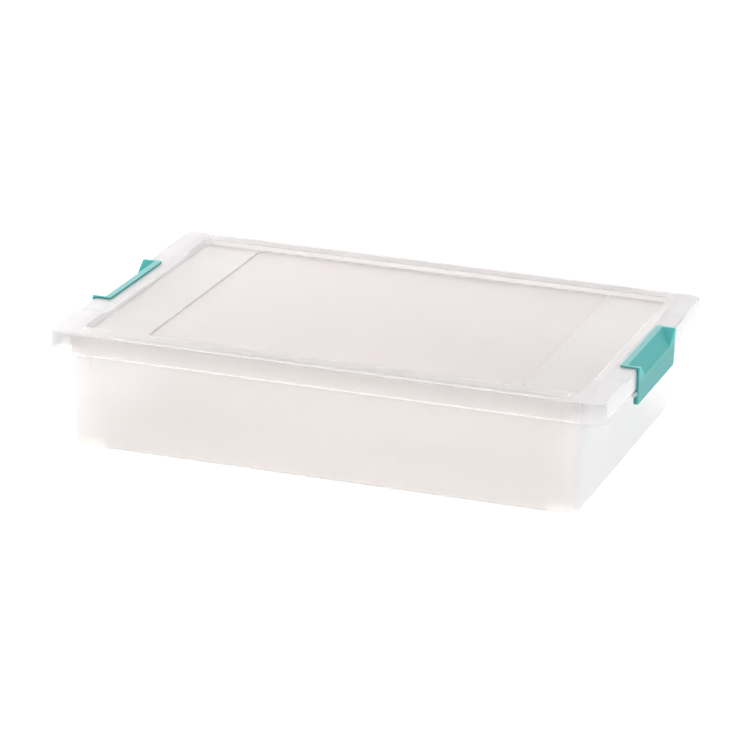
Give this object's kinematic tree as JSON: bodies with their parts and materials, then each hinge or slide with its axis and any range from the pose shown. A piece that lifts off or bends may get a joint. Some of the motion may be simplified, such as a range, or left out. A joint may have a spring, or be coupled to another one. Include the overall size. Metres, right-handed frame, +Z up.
{
  "type": "under bed storage box",
  "caption": "Low rectangular translucent plastic storage box with a stepped lift-off lid and a wide hinged clip latch centred on each short end.",
  "frame": {"origin": "middle of the box's footprint, at the level the feet stand on", "axes": "+X along the length towards the right-hand latch, +Y towards the back long side, +Z up; the lid lifts towards +Z"},
  "size_m": [0.5956, 0.4256, 0.1269],
  "materials": {
    "tub_plastic": "frosted translucent natural polypropylene",
    "lid_plastic": "frosted translucent natural polypropylene",
    "latch_plastic": "satin blue-green plastic"
  },
  "bodies": {
    "tub_body": {"tub": "tub_plastic"},
    "lid_body": {"lid": "lid_plastic"},
    "latch_left_body": {"latch_left": "latch_plastic"},
    "latch_right_body": {"latch_right": "latch_plastic"}
  },
  "joints": [
    {"name": "lid_lift", "type": "slide", "parent": "tub_body", "child": "lid_body", "axis": [0, 0, 1], "range_m": [0, 0.21]},
    {"name": "latch_left_hinge", "type": "hinge", "parent": "tub_body", "child": "latch_left_body", "pos_m": [-0.294, 0, 0.0985], "axis": [0, -1, 0], "range_deg": [0, 125]},
    {"name": "latch_right_hinge", "type": "hinge", "parent": "tub_body", "child": "latch_right_body", "pos_m": [0.294, 0, 0.0985], "axis": [0, 1, 0], "range_deg": [0, 125]}
  ]
}
